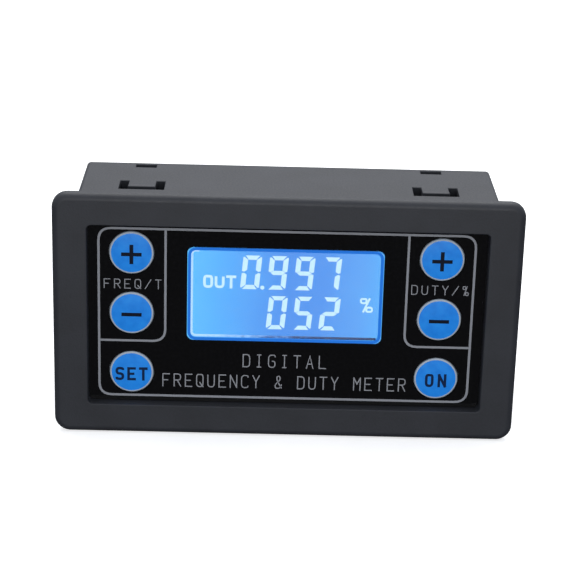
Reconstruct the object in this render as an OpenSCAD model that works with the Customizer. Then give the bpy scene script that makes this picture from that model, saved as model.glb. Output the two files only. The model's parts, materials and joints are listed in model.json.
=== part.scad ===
// Panel-mounted digital frequency instrument with a backlit display and six buttons.
// Frame: X to the right, Y to the rear, Z up. The origin is the centre of the
// bezel's rear face, which seats on the front of the panel.

/* [Bezel] */
// Width of the bezel
bezel_w = 79.3; // [78.5:0.1:81]
// Height of the bezel
bezel_h = 43.2; // [42.5:0.1:45]
// Thickness of the bezel in front of the panel
bezel_t = 2; // [1.4:0.1:2]
// Corner radius of the bezel
bezel_r = 2.7; // [2.5:0.1:4]
// Rounding of the bezel's outer front edge
bezel_edge = 1.2; // [0.3:0.1:1.3]
// Width of the window that the bezel frames
window_w = 67.6; // [67:0.1:67.8]
// Height of the window that the bezel frames
window_h = 32.4; // [32:0.1:33]
// Depth of the face overlay below the bezel's front
recess_d = 2; // [1.9:0.1:2.2]

/* [Body] */
// Width of the body behind the panel
body_w = 72.1; // [71.8:0.1:72.4]
// Height of the body behind the panel
body_h = 39; // [38.6:0.1:39.4]
// Depth of the body behind the panel
body_d = 24.2; // [24:0.1:25]
// Thickness of the body's walls
wall = 1.6; // [1.2:0.1:1.7]
// Distance of the snap tongues from the middle
tongue_x = 25.35; // [24:0.05:27]
// Width of a snap tongue
tongue_w = 4.7; // [4:0.1:5]

/* [Face] */
// Thickness of the face overlay
overlay_t = 0.35; // [0.2:0.05:0.5]
// Width of the display window in the overlay
display_w = 33.1; // [30:0.1:34]
// Height of the display window in the overlay
display_h = 16.75; // [15:0.05:17]
// Sideways place of the display's middle
display_x = -0.3; // [-1:0.1:1]
// Height of the display's middle above the bezel's middle
display_z = 3.7; // [3:0.1:4]

/* [Buttons] */
// Diameter of a button
button_d = 7.5; // [7:0.1:7.6]
// Distance of the button columns from the middle
button_x = 26.25; // [25.8:0.05:26.4]
// Sideways shift of the buttons and the face print, as the overlay sits
face_shift = -0.15; // [-0.2:0.05:0.2]
// Distance between two buttons in a column
button_pitch = 10.85; // [10.5:0.05:11]
// Travel of a button when pressed
button_travel = 0.35; // [0.2:0.05:0.4]

/* [Connections] */
// Distance between two ways of the terminal plug
terminal_pitch = 3.81; // [3.81:0.01:3.9]
// Sideways place of the terminal plug
terminal_x = -13.5; // [-13.6:0.1:-13]
// Height of the terminal contacts
terminal_z = -12; // [-12.4:0.1:-11.8]
// Sideways place of the serial power socket
usb_x = 1.5; // [1:0.5:2]
// Sideways place of the serial pins
serial_x = 12.5; // [12:0.5:14]

/* [Hidden] */
$fn = 48;
BUTTONS = ["freq_up", "freq_down", "set", "duty_up", "duty_down", "output"];
WAYS = 4;

gap = 0.15;                                   // sliding and assembly gap
embed = 0.2;                                  // how far a rib or a post reaches into the wall that carries it
lead = 0.3;                                   // thickness of a thin lead or plate
over = 1;                                     // reach of a cut past the face it opens
overlay_y = recess_d - bezel_t;               // front of the overlay
adhesive_y = overlay_y + overlay_t;
seat_y = adhesive_y + 0.1;                    // floor of the bezel's recess
inner_y = seat_y + 1.4;                       // inside of the housing's front wall
inside_w = body_w - 2 * wall;
inside_h = body_h - 2 * wall;
inside_r = 0.5;
body_r = 0.8;
window_r = 0.8;
aperture_w = display_w + 1.2;
aperture_h = display_h + 1.25;
aperture_r = 1;
film_gap = 0.1;                               // gap between the overlay and the display window

board_t = 1.6;
board_y = 9.6;                                // front of the circuit board
board_back = board_y + board_t;
board_w = inside_w - 2;
board_h = inside_h - 1.8;
boss_x = 31;
boss_z = 15;
boss_r = 1.7;
boss_rib_t = 0.9;
screw_r = 0.95;
screw_l = 6;                                  // depth of a screw hole in its boss
screw_head_r = 1.8;
screw_head_t = 1.2;
pin_tail = 1;                                 // reach of a soldered pin past the board

cover_t = 1.6;
cover_y = body_d - cover_t;
ledge_y = cover_y - 4;                        // front of the ledges that stop the cover
ledge_t = 1.2;
ledge_side_h = 16;
ledge_top_w = 20;
vent_count = 9;
vent_w = 1.2;
vent_h = 9;
vent_pitch = 4;
vent_x = 6;
vent_z = 8;
opening_gap = 0.6;                            // gap round what comes out through the cover
hook_w = 3.3;
hook_root = 2;                                // how far a hook's foot reaches inward
hook_neck = 1.2;
hook_ramp = 0.7;
hook_l = 1.5;
hook_h = 1;                                   // reach of a hook into the wall's window
rear_window_w = 3.7;
rear_window_y = body_d - 2.7;
rear_window_l = 1.9;

slot_y = 8.4;                                 // front end of the cuts around a tongue
slot_l = 5;
slot_w = 1.55;
slit_l = 0.9;
barb_h = 0.22;
barb_flat = 0.5;
barb_l = 2.2;
barb_root = 0.3;

cap_y = overlay_y - 0.2;                      // front of a button
cap_r = button_d / 2;
cap_hole_r = cap_r + gap;
cap_flange_y = inner_y + 0.05;
cap_flange_t = 0.8;
cap_flange_r = cap_r + 0.6;
cap_edge = 0.3;
cap_hub_r = 2.4;
stem_y = 4.4;                                 // where a cap's hub meets its switch stem
stem_r = 1.7;
stem_collar = 0.4;
switch_w = 6;
switch_y = board_y - 3.4;                     // front of a switch's cover
switch_pin = [3.25, 2.25];
switch_peg = 2.25;
switch_peg_r = 0.33;
dome_r = 2.1;
dome_t = 0.1;
stem_end_y = switch_y + 1.2;                   // rear of a stem's collar
dome_y = stem_end_y + button_travel + 0.03;   // crown of a dome, just past the stem's travel
dome_h = 0.32;
dome_floor = dome_y + dome_h;

glass_w = 37;
glass_h = 20;
glass_t = 0.55;
ledge_h = 1.8;                                // contact ledge below the front glass
polariser_t = 0.2;
polariser_y = inner_y + 0.1;
glass_y = polariser_y + polariser_t;
rear_polariser_y = glass_y + 2 * glass_t;
diffuser_y = rear_polariser_y + polariser_t;
guide_y = diffuser_y + polariser_t;
guide_t = 2.4;
reflector_y = guide_y + guide_t;
tray_y = reflector_y + polariser_t;
guide_w = 34.4;
guide_h = 18.2;
led_w = 1.2;
holder_w = 39.6;
holder_h = 25;
holder_z = display_z - ledge_h / 2;
lcd_pin_count = 16;
lcd_pin_pitch = 2;
lcd_pin_z = display_z - glass_h / 2 - ledge_h + 0.5;

header_w = WAYS * terminal_pitch + 2.2;
header_h = 7.8;
header_wall = 0.7;
header_y = board_back;
header_l = 9.2;
header_floor = 1.6;
plug_w = WAYS * terminal_pitch + 0.5;
plug_tip_y = header_y + header_floor + 0.4;
plug_tip_h = 6.1;
plug_step_y = header_y + header_l + 0.2;
plug_end_y = body_d + 4.9;
plug_low = 3.8;                               // plug's reach below its contacts
plug_high = 7.4;                              // plug's reach above its contacts
clamp_y = body_d + 2.5;                       // axis of the clamp screws
clamp_travel = 1.6;
clamp_x = 2.7;
clamp_l = 2.6;
clamp_low = 2.5;
clamp_high = 3.4;
clamp_wall = 0.4;
shoulder_z = clamp_high + clamp_travel + 0.1; // shelf that a clamp screw's head turns on
shoulder_t = 0.8;
clamp_head_r = 1.3;
clamp_screw_r = 0.9;
contact_z = 0.6;
contact_t = 0.45;

usb_w = 7.5;
usb_h = 2.7;
usb_z = -12;
usb_end_y = body_d - 0.4;
usb_wall = 0.3;
serial_pitch = 2.54;
serial_z = -12;
serial_pin = 0.64;

PLASTIC = [0.22, 0.22, 0.235];
BLUE = [0.13, 0.5, 0.88];
STEEL = [0.74, 0.75, 0.77];
BRASS = [0.8, 0.66, 0.32];

corner_steps = 8;

// places of the parts on the rear of the board, in X and Z
MICROCONTROLLER = [8, 3];
OUTPUT_DRIVER = [-20, 1.5];
CRYSTAL = [8, 11.5];
REGULATOR = [-6, 9];
INDUCTOR = [-17, 10.5];
CAPACITORS = [[17.3, 11], [17.3, 4]];

// ---- helpers -------------------------------------------------------------

function corner(x, y, r, start) =
    [for (i = [0:corner_steps]) let (a = start + 90 * i / corner_steps) [x + r * cos(a), y + r * sin(a)]];

function round_rect(w, h, r) = concat(
    corner(w / 2 - r, h / 2 - r, r, 0), corner(r - w / 2, h / 2 - r, r, 90),
    corner(r - w / 2, r - h / 2, r, 180), corner(w / 2 - r, r - h / 2, r, 270));

// the column and row of a button, from its place in BUTTONS
function button_place(k) = [face_shift + (k < 3 ? -button_x : button_x), (1 - k % 3) * button_pitch];

function way_x(k) = terminal_x + (k - (WAYS - 1) / 2) * terminal_pitch;

// a flat shape drawn in X and Z, made thick from y0 to y1
module slab(y0, y1) {
    translate([0, y1, 0]) rotate([90, 0, 0]) linear_extrude(y1 - y0) children();
}

module plate(w, h, r, y0, y1, x = 0, z = 0) {
    translate([x, 0, z]) slab(y0, y1) polygon(round_rect(w, h, r));
}

module rod(place, r, y0, y1) {
    translate([place[0], y1, place[1]]) rotate([90, 0, 0]) cylinder(h = y1 - y0, r = r);
}

// a box centred on x and z, from y0 to y1
module block(w, h, y0, y1, x = 0, z = 0) {
    translate([x - w / 2, y0, z - h / 2]) cube([w, y1 - y0, h]);
}

// a side view drawn in Y and Z, made wide along X about x
module rib(x, w) {
    translate([x - w / 2, 0, 0]) rotate([90, 0, 90]) linear_extrude(w) children();
}

module at_corners(x, z) {
    for (sx = [-1, 1], sz = [-1, 1]) translate([sx * x, 0, sz * z]) mirror([0, 0, sz < 0 ? 1 : 0]) children();
}

// ---- housing and rear cover ----------------------------------------------

// half section of the bezel's outer edge: u outward, v towards the front
function edge_section() = concat(
    [[0, 0], [bezel_r, 0]],
    [for (a = [0:15:90]) [bezel_r - bezel_edge * (1 - cos(a)), bezel_t - bezel_edge * (1 - sin(a))]],
    [[0, bezel_t]]);

module edge_bar(reach, length) {
    translate([reach, length / 2, 0]) rotate([90, 0, 0]) linear_extrude(length) polygon(edge_section());
}

module bezel_blank() {
    flat_w = bezel_w - 2 * bezel_r;
    flat_h = bezel_h - 2 * bezel_r;
    rotate([90, 0, 0]) {
        translate([-flat_w / 2, -flat_h / 2, 0]) cube([flat_w, flat_h, bezel_t]);
        for (turn = [0, 180]) rotate(turn) {
            edge_bar(flat_w / 2, flat_h);
            rotate(90) edge_bar(flat_h / 2, flat_w);
            translate([flat_w / 2, flat_h / 2, 0])
                rotate_extrude(angle = 90) polygon(edge_section());
            translate([-flat_w / 2, flat_h / 2, 0]) rotate(90)
                rotate_extrude(angle = 90) polygon(edge_section());
        }
    }
}

// the U-shaped cut that frees a snap tongue, about the tongue's middle on the wall's outside
module tongue_cut() {
    for (side = [-1, 1])
        block(slot_w, 2 * wall + over, slot_y, slot_y + slot_l, side * (tongue_w + slot_w) / 2);
    block(tongue_w + slot_w, 2 * wall + over, slot_y, slot_y + slit_l);
}

module tongue_barb() {
    tip = slot_y + slit_l;
    rib(0, tongue_w) polygon([[tip, -barb_root], [tip, barb_h], [tip + barb_flat, barb_h],
                              [tip + barb_l, 0], [tip + barb_l, -barb_root]]);
}

module board_boss() {
    rib_h = inside_h / 2 - boss_z + embed;
    difference() {
        union() {
            rod([0, 0], boss_r, inner_y - embed, board_y);
            block(boss_rib_t, rib_h, inner_y - embed, board_y - 0.6, 0, rib_h / 2);
        }
        rod([0, 0], screw_r, board_y - screw_l, board_y + over);
    }
}

module housing() {
    color(PLASTIC) {
        difference() {
            union() {
                bezel_blank();
                plate(body_w, body_h, body_r, 0, body_d);
            }
            plate(window_w, window_h, window_r, -bezel_t - over, seat_y);
            plate(aperture_w, aperture_h, aperture_r, seat_y - over, inner_y + over, display_x, display_z);
            for (k = [0:5]) rod(button_place(k), cap_hole_r + 0.05, seat_y - over, inner_y + over);
            plate(inside_w, inside_h, inside_r, inner_y, body_d + over);
            at_corners(tongue_x, body_h / 2) {
                tongue_cut();
                block(rear_window_w, 2 * wall + over, rear_window_y, rear_window_y + rear_window_l);
            }
        }
        at_corners(tongue_x, body_h / 2) tongue_barb();
        at_corners(boss_x, boss_z) board_boss();
        for (side = [-1, 1]) {
            block(ledge_t, ledge_side_h, ledge_y, cover_y, side * ((inside_w - ledge_t) / 2 + 0.1), 0);
            block(ledge_top_w, ledge_t, ledge_y, cover_y, 0, side * ((inside_h - ledge_t) / 2 + 0.1));
        }
    }
}

module rear_cover() {
    opening_h = plug_low + plug_high + 1;
    hook_y = rear_window_y + 0.2;
    color(PLASTIC) {
        difference() {
            plate(inside_w - 2 * gap, inside_h - 2 * gap, inside_r, cover_y, body_d);
            block(plug_w + 2 * opening_gap, opening_h, cover_y - over, body_d + over, terminal_x,
                  terminal_z + (plug_high - plug_low) / 2);
            plate(usb_w + 0.8, usb_h + 0.8, 0.6, cover_y - over, body_d + over, usb_x, usb_z);
            plate(4 * serial_pitch + 1, serial_pitch + 2 * opening_gap, 0.4, cover_y - over, body_d + over,
                  serial_x, serial_z);
            for (i = [0:vent_count - 1])
                plate(vent_w, vent_h, vent_w / 2 - 0.01, cover_y - over, body_d + over,
                      vent_x + (i - (vent_count - 1) / 2) * vent_pitch, vent_z);
        }
        at_corners(tongue_x, inside_h / 2)
            rib(0, hook_w) polygon([[cover_y, -hook_root], [cover_y, -hook_neck], [hook_y, -hook_neck],
                [hook_y, lead], [hook_y + hook_ramp, hook_h], [hook_y + hook_l, hook_h],
                [hook_y + hook_l, -gap], [cover_y + 1, -gap], [cover_y + 1, -hook_root]]);
    }
}

// ---- face ----------------------------------------------------------------

module face_overlay() {
    color([0.06, 0.06, 0.07]) difference() {
        plate(window_w - 2 * gap, window_h - 2 * gap, window_r, overlay_y, adhesive_y);
        plate(display_w + 2 * film_gap, display_h + 2 * film_gap, aperture_r + film_gap, overlay_y - over,
              adhesive_y + over, display_x, display_z);
        for (k = [0:5]) rod(button_place(k), cap_hole_r, overlay_y - over, adhesive_y + over);
    }
}

module overlay_adhesive() {
    color([0.8, 0.8, 0.74]) difference() {
        plate(window_w - 1.2, window_h - 1.2, 0.5, adhesive_y, seat_y);
        plate(aperture_w + 0.6, aperture_h + 0.6, aperture_r + 0.2, adhesive_y - over, seat_y + over,
              display_x, display_z);
        for (k = [0:5]) rod(button_place(k), cap_hole_r + 0.5, adhesive_y - over, seat_y + over);
    }
}

module display_window() {
    color([0.35, 0.6, 0.9]) plate(display_w, display_h, aperture_r, overlay_y + 0.03, seat_y,
                                  display_x, display_z);
}

// ---- buttons and switches ------------------------------------------------

// a cap's outline from its axis outward: the rounded face, the guide, the flange and the hub
module button_cap(k) {
    place = button_place(k);
    flange_end = cap_flange_y + cap_flange_t;
    color(BLUE) translate([place[0], 0, place[1]]) rotate([-90, 0, 0]) rotate_extrude()
        polygon(concat([[0, cap_y]],
            [for (a = [0:30:90]) [cap_r - cap_edge * (1 - sin(a)), cap_y + cap_edge * (1 - cos(a))]],
            [[cap_r, cap_flange_y], [cap_flange_r, cap_flange_y], [cap_flange_r, flange_end],
             [cap_hub_r, flange_end], [cap_hub_r, stem_y], [0, stem_y]]));
}

module switch_stem(k) {
    place = button_place(k);
    color([0.12, 0.12, 0.13]) {
        rod(place, stem_r, stem_y, switch_y + 0.9);
        rod(place, stem_r + stem_collar, switch_y + 0.4, stem_end_y);
    }
}

module switch_bodies() {
    color([0.16, 0.16, 0.17]) for (k = [0:5]) {
        place = button_place(k);
        difference() {
            block(switch_w, switch_w, switch_y + lead, board_y, place[0], place[1]);
            rod(place, stem_r + 0.55, switch_y - over, dome_floor);
            for (sx = [-1, 1], sz = [-1, 1])
                rod([place[0] + sx * switch_peg, place[1] + sz * switch_peg], switch_peg_r + 0.02,
                    switch_y, switch_y + 0.8);
        }
    }
}

module switch_covers() {
    color(STEEL) for (k = [0:5]) {
        place = button_place(k);
        difference() {
            block(switch_w, switch_w, switch_y, switch_y + lead, place[0], place[1]);
            rod(place, stem_r + 0.15, switch_y - over, switch_y + over);
        }
        for (sx = [-1, 1], sz = [-1, 1])
            rod([place[0] + sx * switch_peg, place[1] + sz * switch_peg], switch_peg_r,
                switch_y + 0.2, switch_y + 0.78);
    }
}

// a dome spring lies on the floor of each switch, just behind its stem
module switch_domes() {
    color(STEEL) for (k = [0:5]) translate([button_place(k)[0], 0, button_place(k)[1]]) rotate([-90, 0, 0])
        rotate_extrude() polygon([[0, dome_y], [dome_r / 2, dome_y + 0.04],
                                  [dome_r - 0.2, dome_floor - dome_t], [dome_r, dome_floor - dome_t],
                                  [dome_r, dome_floor], [dome_r - 0.3, dome_floor],
                                  [dome_r / 2, dome_y + 0.04 + dome_t], [0, dome_y + dome_t]]);
}

module switch_pins() {
    color(STEEL) for (k = [0:5], sx = [-1, 1], sz = [-1, 1])
        block(2 * lead, lead, board_y, board_back + pin_tail,
              button_place(k)[0] + sx * switch_pin[0], button_place(k)[1] + sz * switch_pin[1]);
}

// ---- display -------------------------------------------------------------

module front_polariser() {
    color([0.3, 0.5, 0.85]) plate(glass_w - 1, glass_h - 1, 0.3, polariser_y, glass_y, display_x, display_z);
}

module lcd_front_glass() {
    color([0.55, 0.75, 0.95]) plate(glass_w, glass_h, 0.2, glass_y, glass_y + glass_t, display_x, display_z);
}

module lcd_rear_glass() {
    color([0.5, 0.7, 0.92]) plate(glass_w, glass_h + ledge_h, 0.2, glass_y + glass_t, rear_polariser_y,
                                  display_x, holder_z);
}

module rear_polariser() {
    color([0.35, 0.55, 0.9]) plate(glass_w - 1, glass_h - 1, 0.3, rear_polariser_y, diffuser_y,
                                   display_x, display_z);
}

module backlight_diffuser() {
    color([0.9, 0.93, 0.97]) plate(guide_w, guide_h, 0.3, diffuser_y, guide_y, display_x, display_z);
}

module light_guide() {
    color([0.8, 0.9, 1]) difference() {
        plate(guide_w, guide_h, 0.3, guide_y, reflector_y, display_x, display_z);
        for (side = [-1, 1], row = [-1, 1])
            block(2 * led_w + 0.2, 3.4, guide_y - over, reflector_y + over, display_x + side * guide_w / 2,
                  display_z + row * 4);
    }
}

module backlight_reflector() {
    color([0.96, 0.96, 0.96]) plate(guide_w, guide_h, 0.3, reflector_y, tray_y, display_x, display_z);
}

module backlight_leds() {
    color([0.95, 0.95, 0.85]) for (side = [-1, 1], row = [-1, 1])
        block(led_w, 3, guide_y + 0.2, reflector_y - 0.2, display_x + side * (guide_w - led_w) / 2,
              display_z + row * 4);
}

// the white tray that keeps the glass, the films and the light guide square on the board
module display_holder() {
    color([0.93, 0.93, 0.92]) difference() {
        plate(holder_w, holder_h, 0.6, inner_y + 0.05, board_y, display_x, holder_z);
        plate(glass_w + 0.3, glass_h + ledge_h + 0.3, 0.3, 0, rear_polariser_y, display_x, holder_z);
        plate(glass_w - 0.8, glass_h - 0.8, 0.3, 0, diffuser_y, display_x, display_z);
        plate(guide_w + 0.3, guide_h + 0.3, 0.3, 0, tray_y, display_x, display_z);
        plate(holder_w - 2.4, holder_h - 6.5, 0.5, tray_y + 0.8, board_y + over, display_x, holder_z + 1.8);
        for (i = [0:lcd_pin_count - 1])
            rod([display_x + (i - (lcd_pin_count - 1) / 2) * lcd_pin_pitch, lcd_pin_z], 0.4, 0, board_y + over);
    }
}

module lcd_pins() {
    color(STEEL) for (i = [0:lcd_pin_count - 1])
        rod([display_x + (i - (lcd_pin_count - 1) / 2) * lcd_pin_pitch, lcd_pin_z], 0.25,
            rear_polariser_y + 0.02, board_back + pin_tail, $fn = 16);
}

// ---- circuit board -------------------------------------------------------

module circuit_board() {
    color([0.06, 0.3, 0.2]) difference() {
        plate(board_w, board_h, 1, board_y, board_back);
        at_corners(boss_x, boss_z) rod([0, 0], screw_r + 0.15, board_y - over, board_back + over);
        for (i = [0:lcd_pin_count - 1])
            rod([display_x + (i - (lcd_pin_count - 1) / 2) * lcd_pin_pitch, lcd_pin_z], 0.35,
                board_y - over, board_back + over, $fn = 16);
        for (k = [0:5], sx = [-1, 1], sz = [-1, 1])
            block(0.8, 0.5, board_y - over, board_back + over,
                  button_place(k)[0] + sx * switch_pin[0], button_place(k)[1] + sz * switch_pin[1]);
        for (k = [0:WAYS - 1]) rod([way_x(k), terminal_z], 0.8, board_y - over, board_back + over);
        for (k = [0:3])
            rod([serial_x + (k - 1.5) * serial_pitch, serial_z], 0.5, board_y - over, board_back + over);
    }
}

module board_screws() {
    head_y = board_back + screw_head_t;
    color(STEEL) at_corners(boss_x, boss_z) difference() {
        union() {
            rod([0, 0], screw_r - 0.03, board_y - screw_l + 1, board_back + 0.1);
            rod([0, 0], screw_head_r, board_back, head_y);
        }
        for (turn = [0, 90]) translate([0, head_y, 0]) rotate([0, turn, 0])
            cube([2.2, 1.2, 0.4], center = true);
    }
}

// a square chip with gull-wing leads along two or four sides
module chip(place, w, h, t, leads, pitch, sides) {
    color([0.12, 0.12, 0.13]) block(w, h, board_back + 0.1, board_back + t, place[0], place[1]);
    color(STEEL) for (turn = [0:360 / sides:359]) translate([place[0], 0, place[1]]) rotate([0, turn, 0])
        for (i = [0:leads - 1])
            block(pitch / 2, 0.9, board_back, board_back + 0.4, (i - (leads - 1) / 2) * pitch,
                  (turn % 180 == 0 ? h : w) / 2 + 0.4);
}

module microcontroller() {
    chip(MICROCONTROLLER, 7, 7, 1.5, 8, 0.8, 4);
}

module output_driver() {
    chip(OUTPUT_DRIVER, 5, 4, 1.6, 4, 1.27, 2);
}

module crystal() {
    color(STEEL) plate(11, 4.6, 2.25, board_back, board_back + 3.4, CRYSTAL[0], CRYSTAL[1]);
}

module voltage_regulator() {
    x = REGULATOR[0];
    z = REGULATOR[1];
    color([0.12, 0.12, 0.13]) block(6.5, 3.5, board_back + 0.05, board_back + 1.7, x, z);
    color(STEEL) {
        block(3, 1.5, board_back, board_back + lead, x, z + 2.4);
        for (i = [-1:1]) block(0.7, 1.4, board_back, board_back + lead, x + 2.3 * i, z - 2.3);
    }
}

module power_inductor() {
    color([0.25, 0.25, 0.26]) difference() {
        plate(7, 7, 1.6, board_back, board_back + 3.5, INDUCTOR[0], INDUCTOR[1]);
        rod(INDUCTOR, 1.2, board_back + 3, board_back + 4);
    }
}

module electrolytic_capacitors() {
    for (place = CAPACITORS) {
        color([0.12, 0.12, 0.13]) plate(6.6, 6.6, 0.8, board_back, board_back + 0.8, place[0], place[1]);
        color(STEEL) rod(place, 3.15, board_back + 0.7, board_back + 5.8);
    }
}

module chip_resistors() {
    color([0.15, 0.15, 0.16]) {
        for (i = [0:4]) block(1.2, 2, board_back, board_back + 0.5, 11 + 2 * i, -4);
        for (i = [0:3]) block(2, 1.2, board_back, board_back + 0.5, -9, 3.5 - 2 * i);
        for (i = [0:2]) block(1.2, 2, board_back, board_back + 0.9, -2 + 2.2 * i, -3);
    }
}

// ---- terminal plug -------------------------------------------------------

module terminal_header() {
    color([0.1, 0.42, 0.2]) difference() {
        block(header_w, header_h, header_y, header_y + header_l, terminal_x, terminal_z);
        block(header_w - 2 * header_wall, header_h - 2 * header_wall, header_y + header_floor,
              header_y + header_l + over, terminal_x, terminal_z);
        for (k = [0:WAYS - 1]) block(1.04, 1.04, header_y - over, header_y + header_l, way_x(k), terminal_z);
    }
}

module header_pins() {
    color(BRASS) for (k = [0:WAYS - 1])
        block(1, 1, board_y - pin_tail, header_y + header_l - 1.4, way_x(k), terminal_z);
}

module terminal_plug() {
    head_room = plug_high - shoulder_z - shoulder_t;
    color([0.13, 0.5, 0.25]) difference() {
        union() {
            block(plug_w, plug_tip_h, plug_tip_y, plug_step_y + 0.1, terminal_x, terminal_z);
            block(plug_w, plug_low + plug_high, plug_step_y, plug_end_y, terminal_x,
                  terminal_z + (plug_high - plug_low) / 2);
        }
        for (k = [0:WAYS - 1]) translate([way_x(k), 0, terminal_z]) {
            // socket for the header's pin and bed of the contact strip
            block(1.9, contact_z + contact_t + 0.75, plug_tip_y - over, clamp_y, 0,
                  (contact_z + contact_t - 0.65) / 2);
            // room for the wire clamp over its travel
            block(clamp_x + 0.3, clamp_low + shoulder_z + 0.2, clamp_y - clamp_l / 2 - 0.2,
                  clamp_y + clamp_l / 2 + 0.2, 0, (shoulder_z - clamp_low - 0.2) / 2);
            // wire entry
            block(2.4, 2.7, clamp_y, plug_end_y + over, 0, -0.7);
            translate([0, clamp_y, shoulder_z - over]) cylinder(h = plug_high, r = clamp_screw_r + 0.1);
            translate([0, clamp_y, shoulder_z + shoulder_t])
                cylinder(h = head_room + over, r = clamp_head_r + 0.15);
        }
    }
}

module plug_contacts() {
    color(BRASS) for (k = [0:WAYS - 1])
        block(1.7, contact_t, plug_tip_y + 0.6, clamp_y + 1.1, way_x(k),
              terminal_z + contact_z + contact_t / 2);
}

module clamp_screw(k) {
    head_z = shoulder_z + shoulder_t + 0.05;
    color(STEEL) translate([way_x(k), clamp_y, terminal_z]) difference() {
        union() {
            translate([0, 0, contact_z + contact_t + 0.25])
                cylinder(h = head_z - contact_z - contact_t, r = clamp_screw_r);
            translate([0, 0, head_z]) cylinder(h = 0.9, r = clamp_head_r);
        }
        translate([0, 0, head_z + 0.9]) cube([2 * clamp_head_r + over, 0.4, 0.9], center = true);
    }
}

module wire_clamp(k) {
    height = clamp_low + clamp_high;
    color(BRASS) translate([way_x(k), clamp_y, terminal_z]) difference() {
        translate([-clamp_x / 2, -clamp_l / 2, -clamp_low]) cube([clamp_x, clamp_l, height]);
        translate([clamp_wall - clamp_x / 2, -clamp_l, 0.6 - clamp_low])
            cube([clamp_x - 2 * clamp_wall, 2 * clamp_l, height - 1.4]);
        cylinder(h = plug_high, r = clamp_screw_r + 0.08);
    }
}

// ---- sockets -------------------------------------------------------------

module usb_shell() {
    color(STEEL) difference() {
        plate(usb_w, usb_h, 0.8, board_back, usb_end_y, usb_x, usb_z);
        plate(usb_w - 2 * usb_wall, usb_h - 2 * usb_wall, 0.6, board_back + 4, usb_end_y + over, usb_x, usb_z);
    }
}

module usb_tongue() {
    color([0.1, 0.1, 0.1]) block(4.2, 0.7, board_back + 4, usb_end_y - 0.6, usb_x, usb_z + 0.45);
}

module serial_header() {
    color([0.1, 0.1, 0.11]) difference() {
        for (k = [0:3]) plate(serial_pitch, serial_pitch, 0.4, board_back, board_back + 2.5,
                              serial_x + (k - 1.5) * serial_pitch, serial_z);
        for (k = [0:3]) block(serial_pin + 0.04, serial_pin + 0.04, board_back - over, board_back + 4,
                              serial_x + (k - 1.5) * serial_pitch, serial_z);
    }
}

module serial_pins() {
    color(BRASS) for (k = [0:3])
        block(serial_pin, serial_pin, board_y - pin_tail, body_d - 2.2,
              serial_x + (k - 1.5) * serial_pitch, serial_z);
}

housing();
rear_cover();
face_overlay();
overlay_adhesive();
display_window();
front_polariser();
lcd_front_glass();
lcd_rear_glass();
rear_polariser();
backlight_diffuser();
light_guide();
backlight_reflector();
display_holder();
backlight_leds();
lcd_pins();
switch_bodies();
switch_covers();
switch_domes();
switch_pins();
circuit_board();
board_screws();
microcontroller();
crystal();
voltage_regulator();
output_driver();
power_inductor();
electrolytic_capacitors();
chip_resistors();
terminal_header();
header_pins();
terminal_plug();
plug_contacts();
usb_shell();
usb_tongue();
serial_header();
serial_pins();
for (k = [0:5]) {
    button_cap(k);
    switch_stem(k);
}
for (k = [0:WAYS - 1]) {
    clamp_screw(k);
    wire_clamp(k);
}
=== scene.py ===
# %% [markdown]
# # A snap-in panel meter with a blue display
# The object is a small instrument that clips into a hole in a panel: a grey moulded case with a
# wide bezel, a glossy black face, a blue backlit display and six round blue buttons. Its working
# parts already exist as a fixed CAD frame, at real size. This lesson gives them their looks:
# rounded edges, printed lettering, a lit display and a finish for every material.
#
# First the frame is loaded. Its box is kept, so that the end of the lesson can show that the
# finished model has the same size.

# %% Load the frame
import json
import math

import bmesh
import bpy
from mathutils import Matrix, Vector

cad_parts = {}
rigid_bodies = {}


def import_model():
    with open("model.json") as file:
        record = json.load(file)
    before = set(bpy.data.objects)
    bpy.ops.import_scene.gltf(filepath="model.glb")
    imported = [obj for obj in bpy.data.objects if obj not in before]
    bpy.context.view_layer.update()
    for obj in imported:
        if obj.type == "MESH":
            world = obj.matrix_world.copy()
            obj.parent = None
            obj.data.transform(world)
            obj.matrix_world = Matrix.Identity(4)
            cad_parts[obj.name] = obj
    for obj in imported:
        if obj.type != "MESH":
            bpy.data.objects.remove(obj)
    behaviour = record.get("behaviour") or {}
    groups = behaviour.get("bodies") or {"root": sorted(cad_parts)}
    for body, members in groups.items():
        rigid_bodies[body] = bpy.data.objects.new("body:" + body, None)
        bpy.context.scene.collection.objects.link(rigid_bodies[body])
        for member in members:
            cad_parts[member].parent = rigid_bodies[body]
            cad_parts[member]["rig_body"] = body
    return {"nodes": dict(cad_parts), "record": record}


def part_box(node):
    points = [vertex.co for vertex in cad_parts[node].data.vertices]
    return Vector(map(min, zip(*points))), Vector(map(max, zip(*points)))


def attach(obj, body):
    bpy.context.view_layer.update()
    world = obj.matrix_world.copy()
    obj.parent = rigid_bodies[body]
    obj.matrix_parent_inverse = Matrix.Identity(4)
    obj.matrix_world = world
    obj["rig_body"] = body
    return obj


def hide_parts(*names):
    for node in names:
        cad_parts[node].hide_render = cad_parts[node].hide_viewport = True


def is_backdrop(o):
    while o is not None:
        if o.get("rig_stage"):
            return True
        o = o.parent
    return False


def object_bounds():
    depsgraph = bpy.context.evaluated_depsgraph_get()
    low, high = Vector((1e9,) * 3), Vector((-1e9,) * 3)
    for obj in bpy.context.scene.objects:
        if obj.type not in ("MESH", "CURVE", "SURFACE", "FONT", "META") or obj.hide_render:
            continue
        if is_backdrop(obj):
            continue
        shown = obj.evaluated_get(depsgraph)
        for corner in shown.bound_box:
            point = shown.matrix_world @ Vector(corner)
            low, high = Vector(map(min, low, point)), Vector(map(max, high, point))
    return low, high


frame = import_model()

cad_low, cad_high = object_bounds()
MM = 0.001
print("CAD box in mm:", [round(v / MM, 2) for v in cad_high - cad_low], "nodes:", len(frame["nodes"]))

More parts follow.
